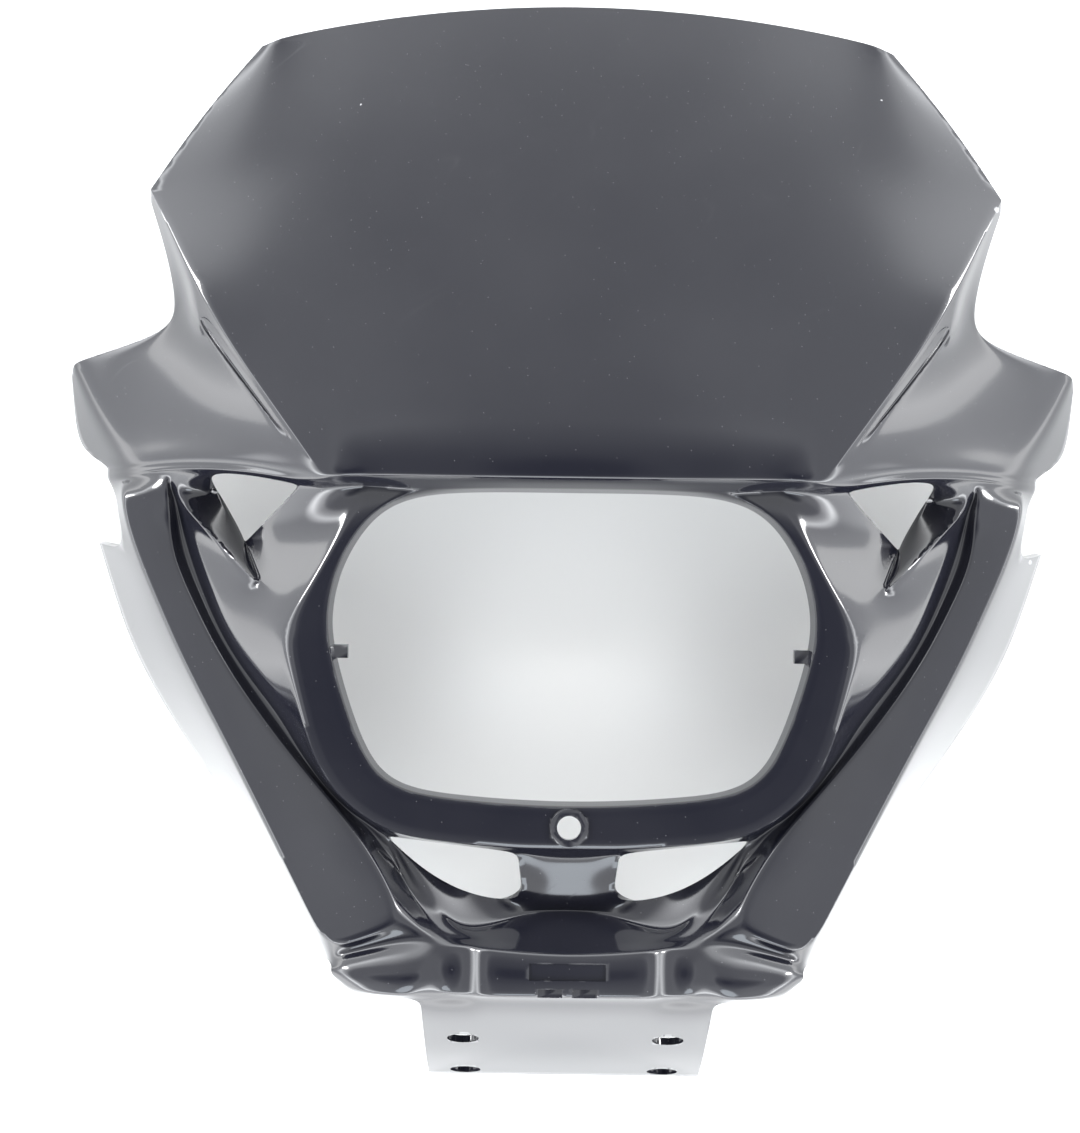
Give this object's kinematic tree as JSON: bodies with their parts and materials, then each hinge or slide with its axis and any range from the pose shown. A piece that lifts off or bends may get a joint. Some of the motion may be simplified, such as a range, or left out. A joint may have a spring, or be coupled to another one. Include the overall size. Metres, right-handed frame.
{
  "type": "motorcycle headlight mask",
  "caption": "Gloss black headlight mask with a broad visor, side wings, recessed pockets, a rounded headlight opening and a rear mounting tongue.",
  "frame": {"origin": "on the surface that the mask lies on, below the middle of its box", "axes": "+Z out of the mask's face, away from the motorcycle; +Y towards the visor's top edge; +X across"},
  "size_m": [0.43, 0.455, 0.1142],
  "materials": {
    "gloss_black": "gloss black outside, satin inside"
  },
  "bodies": {
    "root": {"headlight_mask": "gloss_black"}
  },
  "joints": []
}
